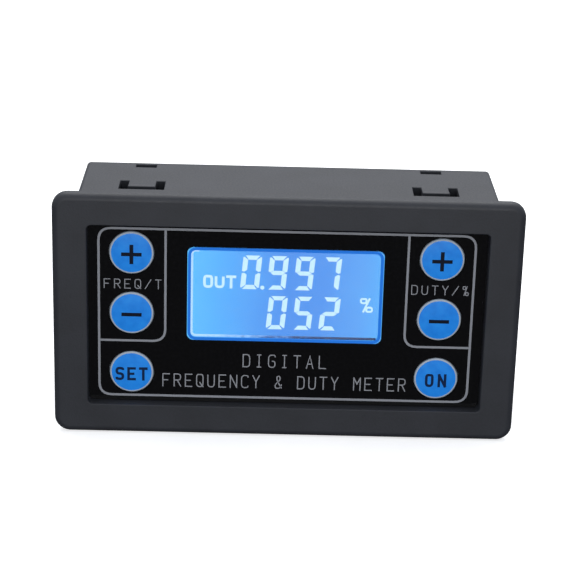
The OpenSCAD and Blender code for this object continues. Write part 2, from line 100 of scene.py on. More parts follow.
# %% [markdown]
# ## The places that everything is drawn from
# The face film, the display window and the buttons are looked up in the frame, in millimetres,
# and the print is laid out around them. X runs to the right, Z runs up, and Y runs from the
# front of the face to the rear of the case.

# %% Look up the face, the window and the buttons
BUTTONS = ["freq_up", "freq_down", "set", "duty_up", "duty_down", "output"]


def box_mm(node):
    """The lowest and highest corner of a CAD node, in millimetres."""
    low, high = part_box(node)
    return low / MM, high / MM


def middle(node):
    """The middle of a CAD node, in millimetres."""
    low, high = box_mm(node)
    return (low + high) / 2


film_low, film_high = box_mm("face_overlay")
window_low, window_high = box_mm("display_window")
display_y = box_mm("front_polariser")[0].y
window_mid = (window_low + window_high) / 2
face_x = (middle("freq_up_button").x + middle("duty_up_button").x) / 2
face_y = film_low.y
print("face plane", round(face_y, 2), "middle of the print", round(face_x, 2))

# %% [markdown]
# ## The camera
# The camera stands in front of the meter and looks down on it at 20 degrees through a long
# lens, which keeps the sides nearly parallel. A camera could be turned with three angles, but
# they are hard to read back. Here the direction towards the camera is worked out from an
# azimuth and an elevation, and the picture's own right and up follow from it.

# %% Aim the camera
AIM = Vector((0.251, 7.035, 2.594))    # the point that it looks at, in mm
DISTANCE = 332.4     # from that point, in mm
LENS = 119.6         # focal length, in mm
AZIMUTH = math.radians(-0.794)
ELEVATION = math.radians(20.14)
ROLL = math.radians(1.615)

towards = Vector((math.sin(AZIMUTH) * math.cos(ELEVATION),
                  -math.cos(AZIMUTH) * math.cos(ELEVATION),
                  math.sin(ELEVATION)))
level = Vector((math.cos(AZIMUTH), math.sin(AZIMUTH), 0))
upward = towards.cross(level)
right = level * math.cos(ROLL) + upward * math.sin(ROLL)
up = upward * math.cos(ROLL) - level * math.sin(ROLL)

camera = bpy.data.objects.new("camera", bpy.data.cameras.new("camera"))
bpy.context.scene.collection.objects.link(camera)
camera.data.lens = LENS
camera.data.clip_start = 0.01
camera.matrix_world = Matrix((right, up, towards)).transposed().to_4x4()
camera.matrix_world.translation = (AIM + towards * DISTANCE) * MM
bpy.context.scene.camera = camera
print("camera stands at", [round(v, 3) for v in camera.matrix_world.translation])

# %% [markdown]
# ## Helpers for materials
# Colours are easiest to write as sRGB hex codes, as on a paint chart, but a renderer works with
# linear light, so one function turns the first into the second. The others add the nodes that
# most materials share, start a material and link its nodes to the shader, which keeps each
# material short enough to read.

# %% Turn a hex colour into linear light
def linear(code):
    """An sRGB hex colour such as '#3a3b40' as linear red, green and blue, and an alpha of 1."""
    channels = [int(code[i:i + 2], 16) / 255 for i in (1, 3, 5)]
    return [c / 12.92 if c <= 0.04045 else ((c + 0.055) / 1.055) ** 2.4 for c in channels] + [1.0]


print("mid grey is", round(linear("#808080")[0], 3), "in linear light")


# %% Add nodes
def add(tree, kind, inputs=(), **settings):
    """Adds a node; a link goes in where an input is a socket."""
    node = tree.nodes.new("ShaderNode" + kind)
    for name, value in settings.items():
        setattr(node, name, value)
    for socket, value in dict(inputs).items():
        if isinstance(value, bpy.types.NodeSocket):
            tree.links.new(value, node.inputs[socket])
        else:
            node.inputs[socket].default_value = value
    return node


def noise(tree, place, width, detail):
    """Cloudy noise with patches about width wide, in mm."""
    return add(tree, "TexNoise", {"Vector": place, "Scale": 1 / (width * MM), "Detail": detail})


def remap(tree, value, start, end, low=0.0, high=1.0):
    """Value, with start to end mapped to low to high."""
    return add(tree, "MapRange", {"Value": value, "From Min": start, "From Max": end,
                                  "To Min": low, "To Max": high})


def ramp(tree, value, *stops):
    """A colour for value; each stop is a place and a hex colour, from left to right."""
    node = add(tree, "ValToRGB", {"Fac": value})
    marks = node.color_ramp.elements
    for i, (place, code) in enumerate(stops):
        mark = marks[i] if i < 2 else marks.new(place)
        mark.position = place
        mark.color = linear(code)
    return node


print("node helpers:", [helper.__name__ for helper in (add, noise, remap, ramp)])


# %% Start a material and connect its nodes
def start(name, code, roughness, sockets=()):
    """A new material with its base colour, roughness and other fixed values set."""
    material = bpy.data.materials.new(name)
    material.use_nodes = True
    tree = material.node_tree
    shader = tree.nodes["Principled BSDF"]
    shader.inputs["Base Color"].default_value = linear(code)
    shader.inputs["Roughness"].default_value = roughness
    for socket, value in dict(sockets).items():
        shader.inputs[socket].default_value = value
    return material, tree, shader


def connect(tree, shader, **nodes):
    """Links a colour, glow, gloss or relief node to the shader's input of that meaning."""
    inputs = {"colour": "Base Color", "glow": "Emission Color", "gloss": "Roughness", "relief": "Normal"}
    for meaning, node in nodes.items():
        tree.links.new(node.outputs[0], shader.inputs[inputs[meaning]])


print("material helpers:", [helper.__name__ for helper in (start, connect)])

# %% [markdown]
# ## Moulded plastics
# Most of the meter is injection moulded, and the tool's surface decides how it looks. A
# spark-eroded tool leaves fine pits that break up reflections, so the surface is matt and has a
# barely visible speckle. A polished tool leaves it glossy. Both come from one recipe: a cloudy
# change of tone over some millimetres, and a fine grain that raises and roughens the surface.

# %% A recipe for moulded plastic
CLOUD = 7.0          # width of a patch of slightly different tone, in mm


def moulded(name, dark, light, roughness, grain, depth, sockets=()):
    """Plastic with a grain of the given width and depth in mm, and tones from dark to light."""
    material, tree, shader = start(name, dark, roughness, sockets)
    place = add(tree, "TexCoord").outputs["Object"]
    cloud = noise(tree, place, CLOUD, 3.0)
    pits = noise(tree, place, grain, 5.0)
    tone = add(tree, "Math", {0: cloud.outputs["Fac"], 1: pits.outputs["Fac"]}, operation="ADD")
    spread = remap(tree, tone.outputs[0], 0.75, 1.25)
    colour = ramp(tree, spread.outputs[0], (0.0, dark), (1.0, light))
    gloss = remap(tree, pits.outputs["Fac"], 0.3, 0.7, roughness - 0.07, roughness + 0.07)
    relief = add(tree, "Bump", {"Height": pits.outputs["Fac"], "Distance": depth * MM})
    connect(tree, shader, colour=colour, gloss=gloss, relief=relief)
    return material


print("plastic recipe: clouds", CLOUD, "mm wide")


# %% Finishes for the plastic parts
finish = {}
# ABS from a spark-eroded tool: matt dark grey with a fine sandy grain that scatters highlights
finish["case_plastic"] = moulded("grey_abs_sparked", "#313338", "#383a40", 0.52, 0.32, 0.018)
# the same ABS, a little coarser and darker on the cover that nobody looks at
finish["cover_plastic"] = moulded("grey_abs_rear", "#2b2c30", "#333438", 0.58, 0.4, 0.022)
# nylon: a dense black with a soft sheen, from the moisture that it takes up
finish["black_plastic"] = moulded("black_nylon", "#131315", "#1b1b1e", 0.46, 0.25, 0.012)
# glass-filled nylon of terminal blocks: green, and slightly cloudy from the fibres in it
finish["green_plastic"] = moulded("green_nylon_glass_filled", "#1c7a3c", "#2a9150", 0.42, 0.3, 0.014)
# white polycarbonate tray: bright and satin, so that it throws light back into the display
finish["white_plastic"] = moulded("white_polycarbonate", "#e6e6e2", "#f0f0ec", 0.4, 0.35, 0.01)
# moulded epoxy of chip packages: charcoal, evenly matt, with a fine mineral filler
finish["chip_epoxy"] = moulded("moulding_epoxy", "#1e1e20", "#29292c", 0.55, 0.18, 0.01)
# sintered ferrite: almost black, gritty and dull, like fired clay
finish["ferrite"] = moulded("sintered_ferrite", "#2b2b2d", "#39393b", 0.7, 0.22, 0.02)
# fired alumina with a dark glaze: smooth and hard, a little shiny
finish["ceramic"] = moulded("glazed_alumina", "#232326", "#303034", 0.35, 0.3, 0.006)
# white reflector film: foamed polyester, very white and quite dull
finish["reflector_film"] = moulded("foamed_polyester_film", "#f0f0ee", "#f8f8f6", 0.6, 0.2, 0.004)
# matt diffuser film: milky, with beads on its face that spread the light
finish["diffuser_film"] = moulded("beaded_diffuser_film", "#dfe6ee", "#eef2f8", 0.5, 0.15, 0.01)
# pressure-sensitive transfer adhesive: pale, slightly tacky and uneven
finish["adhesive"] = moulded("transfer_adhesive", "#c9c9bb", "#d6d6c8", 0.5, 0.8, 0.01)
print("plastic finishes:", len(finish))

# %% [markdown]
# ## Metals
# A metal takes its colour from its reflections, so its grain shows mainly as a change of
# roughness. Rolled and brushed sheet has fine lines along one direction: the same noise as
# before, but stretched many times along that direction. A metal keeps the default IOR.

# %% A recipe for rolled and plated metal
STREAK = 14.0        # how many times longer than wide the rolling lines are


def plated(name, dark, light, roughness, line):
    """Metal with rolling lines of the given width in mm along X, and tones from dark to light."""
    material, tree, shader = start(name, light, roughness, {"Metallic": 1.0})
    place = add(tree, "TexCoord").outputs["Object"]
    drawn = add(tree, "Mapping", {"Vector": place, "Scale": (1 / STREAK, 1.0, 1.0)})
    lines = noise(tree, drawn.outputs[0], line, 4.0)
    stain = noise(tree, place, 1.5, 3.0)
    colour = ramp(tree, stain.outputs["Fac"], (0.35, dark), (0.65, light))
    gloss = remap(tree, lines.outputs["Fac"], 0.3, 0.7, roughness - 0.08, roughness + 0.1)
    relief = add(tree, "Bump", {"Height": lines.outputs["Fac"], "Distance": 0.004 * MM})
    connect(tree, shader, colour=colour, gloss=gloss, relief=relief)
    return material


print("metal recipe: lines", STREAK, "times as long as wide")


# %% Finishes for the metal parts
# bright tin on copper: whitish and soft-looking, never quite mirror smooth
finish["tinned_metal"] = plated("tinned_copper", "#bdbdb8", "#d6d6d2", 0.3, 0.1)
# cold-rolled stainless spring: cool grey and fairly bright, with rolling lines
finish["spring_steel"] = plated("rolled_spring_steel", "#a8a9ad", "#c2c3c7", 0.25, 0.08)
# zinc plating on steel: bluish and slightly milky
finish["screw_steel"] = plated("zinc_plated_steel", "#a9adb3", "#c6cad0", 0.32, 0.12)
# nickel-plated drawn can: warm grey and smooth
finish["can_steel"] = plated("nickel_plated_can", "#b5b3ad", "#cbc9c3", 0.22, 0.15)
# satin aluminium sleeve of a capacitor
finish["can_aluminium"] = plated("satin_aluminium", "#c3c5c8", "#d9dbde", 0.35, 0.1)
# stamped brass of the contacts, with a little brown tarnish in its clouds
finish["contact_brass"] = plated("stamped_brass", "#a8873f", "#c9a757", 0.3, 0.1)
# nickel-plated shell of the power socket
finish["socket_steel"] = plated("nickel_plated_shell", "#aeb0b2", "#c8cacc", 0.24, 0.1)
print("finishes so far:", len(finish))

# %% [markdown]
# ## Clear parts
# The window over the display is clear acrylic, and the light guide behind the glass is the same
# material. Acrylic has an IOR of 1.49. Its faces are moulded very smooth, so only a long soft
# ripple and a few hairline scratches show, and they show in the gloss rather than the colour.

# %% A recipe for clear sheet
def clear(name, code, roughness, ior, ripple):
    """Clear sheet with a ripple of the given width in mm and a faint haze of fine wear."""
    sockets = {"Transmission Weight": 1.0, "IOR": ior}
    material, tree, shader = start(name, code, roughness, sockets)
    place = add(tree, "TexCoord").outputs["Object"]
    swell = noise(tree, place, ripple, 1.0)
    haze = noise(tree, place, 0.6, 6.0)
    gloss = remap(tree, haze.outputs["Fac"], 0.35, 0.75, roughness, roughness + 0.05)
    relief = add(tree, "Bump", {"Height": swell.outputs["Fac"], "Distance": 0.002 * MM})
    connect(tree, shader, gloss=gloss, relief=relief)
    return material


# clear acrylic window: colourless and polished
finish["window_clear"] = clear("clear_acrylic", "#f4f8ff", 0.01, 1.49, 9.0)
# thin soda-lime glass of the display: a faint green-blue where the light crosses it
finish["display_glass"] = clear("thin_float_glass", "#e2f0f4", 0.01, 1.52, 12.0)
# acrylic light guide with moulded dots: slightly hazy
finish["light_guide_acrylic"] = clear("dotted_light_guide", "#eaf4ff", 0.12, 1.49, 2.0)
# polarising film: a grey-blue tinted plastic film
finish["polariser"] = clear("polarising_film", "#8fa6c8", 0.08, 1.5, 6.0)
# clear epoxy lens of the small backlight lamps
finish["led"] = clear("epoxy_lamp_lens", "#fdf6c8", 0.15, 1.53, 1.0)
print("finishes so far:", len(finish))

# %% [markdown]
# ## The face film and the board
# The face is a polyester film with black ink on its back, so it is deep black with a smooth
# gloss and a slight ripple from the adhesive under it. The circuit board is a green laminate:
# solder resist lies over a pattern of copper tracks, which show as paler lines.

# %% Glossy face film
def face_film():
    """Black film: the ripple is wide and shallow, and the finest dust dulls the gloss a little."""
    material, tree, shader = start("black_polyester_film", "#0a0a0c", 0.1, {"IOR": 1.5})
    place = add(tree, "TexCoord").outputs["Object"]
    ripple = noise(tree, place, 4.0, 2.0)
    dust = noise(tree, place, 0.5, 8.0)
    colour = ramp(tree, dust.outputs["Fac"], (0.4, "#080809"), (0.8, "#101012"))
    gloss = remap(tree, dust.outputs["Fac"], 0.3, 0.75, 0.07, 0.18)
    relief = add(tree, "Bump", {"Height": ripple.outputs["Fac"], "Distance": 0.004 * MM})
    connect(tree, shader, colour=colour, gloss=gloss, relief=relief)
    return material


finish["face_film"] = face_film()
print("face:", finish["face_film"].name)


# %% Green laminate with tracks under the resist
TRACK = 1.27         # spacing of the tracks, in mm


def laminate():
    """Solder resist over copper: square cells give straight tracks with bends and pads."""
    material, tree, shader = start("green_solder_resist", "#0f4a33", 0.3, {"IOR": 1.5})
    place = add(tree, "TexCoord").outputs["Object"]
    cells = add(tree, "TexVoronoi", {"Vector": place, "Scale": 1 / (2 * TRACK * MM)},
                distance="MANHATTAN", feature="F1")
    bands = add(tree, "Math", {0: cells.outputs["Distance"], 1: 4.0}, operation="MULTIPLY")
    wave = add(tree, "Math", {0: bands.outputs[0], 1: 1.0}, operation="PINGPONG")
    colour = ramp(tree, wave.outputs[0], (0.55, "#0c3f2b"), (0.62, "#1c6647"))
    weave = noise(tree, place, 0.4, 3.0)
    gloss = remap(tree, weave.outputs["Fac"], 0.0, 1.0, 0.22, 0.4)
    relief = add(tree, "Bump", {"Height": wave.outputs[0], "Distance": 0.02 * MM, "Strength": 0.6})
    connect(tree, shader, colour=colour, gloss=gloss, relief=relief)
    return material


finish["laminate"] = laminate()
print("finishes so far:", len(finish))

# %% [markdown]
# ## Print inks and the blue of the buttons
# Screen-printed ink lies as a thin, even, slightly rough layer. Its edges are a little uneven
# at the scale of the mesh it was pressed through, which shows as a faint mottle of its tone. The
# buttons are blue acrylic caps, and part of their colour is a painted glow: a weak emission of
# their own blue that stands in for the room light that they send back.

# %% Screen-printed inks
MESH = 0.12          # spacing of the printing mesh, in mm


def ink(name, dark, light, glow=0.0):
    """A flat layer of ink; glow is the share of its colour that shines through from behind."""
    material, tree, shader = start(name, light, 0.5, {"Emission Strength": glow, "Specular IOR Level": 0.2})
    place = add(tree, "TexCoord").outputs["Object"]
    mesh = noise(tree, place, MESH, 2.0)
    colour = ramp(tree, mesh.outputs["Fac"], (0.3, dark), (0.6, light))
    relief = add(tree, "Bump", {"Height": mesh.outputs["Fac"], "Distance": 0.004 * MM})
    connect(tree, shader, colour=colour, glow=colour, relief=relief)
    return material


# pale grey ink of the frame lines: neutral, flat
line_ink = ink("grey_screen_ink", "#9fa2a9", "#adb0b6")
# the words are finer than the mesh holds well, so they print a little lighter in tone
word_ink = ink("pale_screen_ink", "#a2a4a9", "#b2b4b9")
# pale ring round each button, which wraps down the cap's side and on to its flange
ring_ink = ink("pale_blue_ring_ink", "#c0cede", "#d0dce8")
# navy ink of the plus and minus signs: nearly black, so none of the caps' painted glow shows through it
sign_ink = ink("navy_screen_ink", "#030c22", "#05122c")
# the words on the buttons are thinner, so a little of the blue comes through them
cap_word_ink = ink("thin_navy_screen_ink", "#0a2348", "#0e2c58")
# blue ink round the window: bright because the backlight shines through it
border_ink = ink("blue_border_ink", "#1a68cc", "#247ae2", 0.42)
print("inks: line, word, ring, sign, cap word, border")


# %% Blue of the caps, with a painted glow
def cap_blue_painted_glow():
    """Pigmented acrylic from a polished tool: glossy, with slightly uneven pigment, and a painted glow of
    its own blue.
    """
    # the emission is painted light: a weak glow of the cap's own blue that stands in for room light on it
    sockets = {"Emission Strength": 0.37, "Coat Weight": 0.2, "Coat Roughness": 0.12}
    material, tree, shader = start("blue_acrylic_with_painted_glow", "#1d82ea", 0.32, sockets)
    place = add(tree, "TexCoord").outputs["Object"]
    pigment = noise(tree, place, 1.6, 4.0)
    colour = ramp(tree, pigment.outputs["Fac"], (0.3, "#1377d6"), (0.7, "#2088e4"))
    peel = noise(tree, place, 0.5, 2.0)
    gloss = remap(tree, peel.outputs["Fac"], 0.0, 1.0, 0.24, 0.4)
    relief = add(tree, "Bump", {"Height": peel.outputs["Fac"], "Distance": 0.006 * MM})
    connect(tree, shader, colour=colour, glow=colour, gloss=gloss, relief=relief)
    return material


finish["button_blue"] = cap_blue_painted_glow()
# the same acrylic inside the case, painted darker as painted shade, where no room light comes through it
cap_painted_shade = moulded("blue_acrylic_painted_shade", "#0c3560", "#0f3f70", 0.35, 0.5, 0.006)
print("finishes so far:", len(finish))

# %% [markdown]
# ## Light from the display
# A segment display of this kind is lit from behind: blue lamps at both ends feed a light guide,
# so the field is palest near the ends and deepest in the middle. The segments let nearly white
# light through. Both are drawn as surfaces that shine: their colour is emitted, and only a little
# room light adds to it. The field's change of colour follows X across the display.

# %% Lit display field
LAMP_BLUE = 1.04     # brightness of the field


def lit_field():
    """Blue field: light at both ends, deeper in the middle, with the guide's faint mottle."""
    material, tree, shader = start("backlit_blue_field", "#020409", 0.4,
                                   {"Emission Strength": LAMP_BLUE, "Specular IOR Level": 0.0})
    place = add(tree, "TexCoord").outputs["Object"]
    axes = add(tree, "SeparateXYZ", {0: place})
    along = remap(tree, axes.outputs["X"], window_low.x * MM, window_high.x * MM)
    mottle = noise(tree, place, 5.0, 2.0)
    drift = remap(tree, mottle.outputs["Fac"], 0.0, 1.0, -0.06, 0.06)
    spot = add(tree, "Math", {0: along.outputs[0], 1: drift.outputs[0]}, operation="ADD")
    colour = ramp(tree, spot.outputs[0], (0.0, "#5cc2ff"), (0.13, "#54b7ff"), (0.3, "#52a7f8"),
                  (0.5, "#4b95ee"), (0.7, "#5199ef"), (0.88, "#5ca7f5"), (1.0, "#5ab3fb"))
    connect(tree, shader, glow=colour)
    return material


field_light = lit_field()
print("field:", field_light.name)


# %% Lit segments
def lit_segment():
    """Open liquid crystal: nearly white, with a faint cell structure in its brightness."""
    material, tree, shader = start("open_crystal_segment", "#203040", 0.4, {"Emission Strength": 1.0})
    place = add(tree, "TexCoord").outputs["Object"]
    cell = noise(tree, place, 0.8, 2.0)
    colour = ramp(tree, cell.outputs["Fac"], (0.3, "#c8eef8"), (0.7, "#d2f5fc"))
    connect(tree, shader, glow=colour)
    return material


segment_light = lit_segment()
print("segments:", segment_light.name)


# %% Painted highlight along the window's edge
def edge_light():
    """Painted highlight for the light caught in the window's edge: white at the left, dark blue with specks
    at the right.
    """
    material, tree, shader = start("painted_highlight_in_window_edge", "#0a1c40", 0.3, {"Emission Strength": 1.0})
    place = add(tree, "TexCoord").outputs["Object"]
    axes = add(tree, "SeparateXYZ", {0: place})
    along = remap(tree, axes.outputs["X"], window_low.x * MM, window_high.x * MM)
    specks = noise(tree, place, 0.9, 5.0)
    drift = remap(tree, specks.outputs["Fac"], 0.35, 0.7, 0.1, -0.16)
    spot = add(tree, "Math", {0: along.outputs[0], 1: drift.outputs[0]}, operation="ADD")
    colour = ramp(tree, spot.outputs[0], (0.0, "#b2e0ff"), (0.12, "#acdcff"), (0.3, "#86bcf4"),
                  (0.45, "#4476bc"), (0.6, "#163668"), (1.0, "#0e2850"))
    connect(tree, shader, glow=colour)
    return material


bead_light = edge_light()
print("bead:", bead_light.name)

# %% [markdown]
# ## Every CAD node gets its finish
# The record says which material slot each node takes its finish from, so one loop paints them
# all. The front polariser is the display that a person sees, so it carries the lit field.

# %% Paint the frame
slot_of = {part["node"]: part["material_slot"] for part in frame["record"]["subparts"]}


def paint(piece, material):
    """Gives the whole piece one material."""
    piece.data.materials.clear()
    piece.data.materials.append(material)


for node, part in frame["nodes"].items():
    paint(part, finish[slot_of[node]])
paint(frame["nodes"]["front_polariser"], field_light)
print("painted nodes:", len(slot_of))

# %% [markdown]
# ## Rounded edges
# No moulded or pressed part has a truly sharp edge, and it is the rounding that catches the
# light and shows where one face ends. The CAD nodes have sharp edges, so each gets a copy that
# stands for it: flat faces are merged, the sharp edges are rounded with a bevel, and the normals
# are weighted so that the big faces stay flat. Their meshes may not be changed, so each gets a
# copy that stands for it: flat faces are merged, the sharp edges are rounded with a bevel, and
# the normals are weighted so that the big faces stay flat.

# %% Round the edges of a node
WELD = 0.002         # points closer than this become one, in mm
FLAT = math.radians(0.5)
SHARP = math.radians(35)


def settle(mesh):
    """Shades a mesh smooth, with its sharp edges kept."""
    mesh.shade_smooth()
    mesh.set_sharp_from_angle(angle=SHARP)


def softened(node, radius, steps=2):
    """A piece that stands for a CAD node, with its edges rounded to radius, in mm."""
    source = frame["nodes"][node]
    mesh = bpy.data.meshes.new(node + "_rounded")
    mesh.from_pydata([v.co for v in source.data.vertices], [], [f.vertices[:] for f in source.data.polygons])
    shape = bmesh.new()
    shape.from_mesh(mesh)
    bmesh.ops.remove_doubles(shape, verts=shape.verts, dist=WELD * MM)
    bmesh.ops.dissolve_limit(shape, angle_limit=FLAT, verts=shape.verts, edges=shape.edges)
    shape.to_mesh(mesh)
    shape.free()
    settle(mesh)
    piece = bpy.data.objects.new(node + "_rounded", mesh)
    bpy.context.scene.collection.objects.link(piece)
    bevel = piece.modifiers.new("edges", "BEVEL")
    bevel.width = radius * MM
    bevel.segments = steps
    bevel.limit_method = "ANGLE"
    bevel.angle_limit = SHARP
    bevel.use_clamp_overlap = False
    weight = piece.modifiers.new("flat_faces", "WEIGHTED_NORMAL")
    weight.weight = 100
    weight.keep_sharp = True
    view = bpy.context.evaluated_depsgraph_get()
    piece.data = bpy.data.meshes.new_from_object(piece.evaluated_get(view))
    piece.modifiers.clear()
    paint(piece, finish[slot_of[node]])
    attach(piece, source["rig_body"])
    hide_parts(node)
    return piece


print("edges sharper than", round(math.degrees(SHARP)), "degrees get rounded")

# %% Round them all
ROUNDING = {"housing": 0.14, "rear_cover": 0.14, "terminal_plug": 0.16, "terminal_header": 0.12,
            "usb_shell": 0.06, "usb_tongue": 0.08, "serial_header": 0.12, "serial_pins": 0.1,
            "display_holder": 0.1, "board_screws": 0.06, "circuit_board": 0.06, "switch_bodies": 0.1,
            "microcontroller": 0.05, "output_driver": 0.05, "crystal": 0.2, "power_inductor": 0.15,
            "voltage_regulator": 0.05, "electrolytic_capacitors": 0.2, "chip_resistors": 0.05,
            "plug_contacts": 0.05, "header_pins": 0.1}
ROUNDING.update({f"clamp_screw_{k}": 0.07 for k in range(1, 5)})
ROUNDING.update({f"wire_clamp_{k}": 0.06 for k in range(1, 5)})
ROUNDING.update({f"{name}_stem": 0.1 for name in BUTTONS})
rounded_pieces = {node: softened(node, radius) for node, radius in ROUNDING.items()}
print("rounded pieces:", len(rounded_pieces),
      "faces:", sum(len(p.data.polygons) for p in rounded_pieces.values()))

# %% [markdown]
# ## Leads and bases in their own material
# A chip is moulded round its leads, and a capacitor's can stands on a moulded base, but each is
# one node. The faces that lie outside the moulding, or below the can, get a second material.

# %% Give part of a piece a second material
def also(piece, material, chosen):
    """Gives the faces whose middle, in mm, is chosen a second material."""
    piece.data.materials.append(material)
    picked = [face for face in piece.data.polygons if chosen(face.center / MM)]
    for face in picked:
        face.material_index = 1
    return len(picked)


# half of each moulding along X and Z, in mm; 9 lies past both ends, so only Z counts there
BODY_HALF = {"microcontroller": (3.52, 3.52), "output_driver": (9.0, 2.02), "voltage_regulator": (9.0, 1.85)}
BASE_H = 0.82        # height of a capacitor's base, in mm
picked = 0
for name, (half_x, half_z) in BODY_HALF.items():
    spot = middle(name)
    picked += also(rounded_pieces[name], finish["tinned_metal"],
                   lambda p: abs(p.x - spot.x) > half_x or abs(p.z - spot.z) > half_z)
base_top = box_mm("electrolytic_capacitors")[0].y + BASE_H
picked += also(rounded_pieces["electrolytic_capacitors"], finish["black_plastic"], lambda p: p.y < base_top)
print("faces with a second material:", picked)

# %% [markdown]
# ## A helper for new pieces
# The print, the ring round each button and the segments of the display don't exist in the
# frame. Each is a thin closed solid built from its own points, so that it also exists in an
# exported mesh. A new piece says which body it rides on.

# %% Make a piece from points and faces
def make_piece(name, points, faces, material, body, slot):
    """A closed mesh piece from points in mm."""
    mesh = bpy.data.meshes.new(name)
    mesh.from_pydata([Vector(p) * MM for p in points], [], faces)
    shape = bmesh.new()
    shape.from_mesh(mesh)
    bmesh.ops.recalc_face_normals(shape, faces=shape.faces)
    shape.to_mesh(mesh)
    shape.free()
    settle(mesh)
    piece = bpy.data.objects.new(name, mesh)
    bpy.context.scene.collection.objects.link(piece)
    paint(piece, material)
    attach(piece, body)
    return piece


def thick(outline, front, back):
    """The points and faces of a flat outline in X and Z, made thick from front to back along Y."""
    n = len(outline)
    points = [(x, y, z) for y in (front, back) for x, z in outline]
    faces = [list(range(n)), list(range(n, 2 * n))]
    faces += [(i, (i + 1) % n, n + (i + 1) % n, n + i) for i in range(n)]
    return points, faces


def joined(parts):
    """Several (points, faces) lists as one."""
    points, faces = [], []
    for more_points, more_faces in parts:
        faces += [[i + len(points) for i in face] for face in more_faces]
        points += more_points
    return points, faces


print("a thick square has", len(thick([(0, 0), (1, 0), (1, 1), (0, 1)], 0, 1)[1]), "faces")

# %% [markdown]
# ## Strokes
# Lines and letters are drawn as a pen would draw them: a path with a width. A path with round
# corners first gets a short curve in place of each. Then the path is widened to both sides and
# made thick. Each side is offset along the corner's bisector, so the width stays the same round
# a gentle bend.

# %% Round the corners of a path
CURVE_STEPS = 6      # steps of the curve at one rounded corner


def rounded(path, radius):
    """The path with each inner corner replaced by a curve that starts radius before the corner."""
    out = [Vector(path[0])]
    for before, corner, after in zip(path, path[1:], path[2:]):
        before, corner, after = Vector(before), Vector(corner), Vector(after)
        cut_in = min(radius, (before - corner).length / 2)
        cut_out = min(radius, (after - corner).length / 2)
        enter = corner + (before - corner).normalized() * cut_in
        leave = corner + (after - corner).normalized() * cut_out
        for i in range(CURVE_STEPS + 1):
            t = i / CURVE_STEPS
            out.append(enter * (1 - t) ** 2 + corner * 2 * t * (1 - t) + leave * t ** 2)
    return out + [Vector(path[-1])]


print("a square corner of radius 1 becomes", len(rounded([(0, 0), (0, 4), (4, 4)], 1)), "points")


# %% Widen a path into a stroke
def stroke(path, width, front, back, closed=False):
    """The points and faces of a stroke along a path in X and Z."""
    path = [Vector(p) for p in path]
    path = [p for i, p in enumerate(path) if i == 0 or (p - path[i - 1]).length > 1e-4]
    n = len(path)
    points = []
    for i, here in enumerate(path):
        before = path[i - 1] if i or closed else here
        after = path[(i + 1) % n] if i < n - 1 or closed else here
        inward = (here - before).normalized() if before != here else (after - here).normalized()
        outward = (after - here).normalized() if after != here else inward
        across = (inward + outward).normalized()
        side = Vector((-across.y, across.x)) * width / 2 / max(0.5, across.dot(inward))
        for edge in (here + side, here - side):
            points += [(edge.x, front, edge.y), (edge.x, back, edge.y)]
    faces = []
    for i in range(n if closed else n - 1):
        a, b = 4 * i, 4 * ((i + 1) % n)
        faces += [(a, b, b + 2, a + 2), (a + 1, a + 3, b + 3, b + 1),
                  (a, a + 1, b + 1, b), (a + 2, b + 2, b + 3, a + 3)]
    if not closed:
        last = 4 * (n - 1)
        faces += [(0, 2, 3, 1), (last, last + 1, last + 3, last + 2)]
    return points, faces


print("a straight stroke has", len(stroke([(0, 0), (4, 0)], 1, 0, 1)[1]), "faces")

# %% [markdown]
# ## The frame lines on the face
# A thin grey line runs round the face, and two more lines fence off the button columns. The
# outer line is a closed rounded rectangle. Each fence starts at the top line, turns one
# rounded corner and ends on the side line. They lie on the film as raised ink.

# %% Print the frame lines
INK = 0.02           # thickness of the ink, in mm
LINE = 0.4           # width of the outer line
FENCE_LINE = LINE * 0.97  # the fences are a touch thinner
FENCE_STEP = 0.001   # the fences stand out this much less, so that no two faces coincide
FRAME_HALF_W = 31.8
FRAME_HALF_H = 15.17
FENCE_X = 20.5       # upright part of a fence, from the middle of the print
FENCE_Z = -5.05      # height of its level part
CORNER = 2.2         # reach of a rounded corner
ink_front = face_y - INK
ink_back = face_y + INK / 2


def frame_lines():
    """The closed outer line and the two fences, as one piece of print."""
    w, h = FRAME_HALF_W, FRAME_HALF_H
    loop = [(0, h), (w, h), (w, -h), (-w, -h), (-w, h), (0, h)]
    outer = [p + Vector((face_x, 0)) for p in rounded(loop, CORNER)[:-1]]
    parts = [stroke(outer, LINE, ink_front, ink_back, closed=True)]
    for side in (-1, 1):
        path = [(side * FENCE_X, h), (side * FENCE_X, FENCE_Z), (side * w, FENCE_Z)]
        fence = [p + Vector((face_x, 0)) for p in rounded(path, CORNER)]
        parts.append(stroke(fence, FENCE_LINE, ink_front + FENCE_STEP, ink_back))
    return joined(parts)


make_piece("face_frame_lines", *frame_lines(), line_ink, "case", "face_film")
print("frame lines span", 2 * FRAME_HALF_W, "by", 2 * FRAME_HALF_H, "mm")

# %% [markdown]
# ## Lettering
# The words on the face are in a plain drawing-office hand, where each letter is a few strokes
# of one width. A font file would bring outlines that are much finer than the print, and shapes
# that don't match. So the letters are drawn here on a grid of 4 by 6: each pair of digits is a
# point, a comma lifts the pen, and ~ marks a stroke with rounded corners.

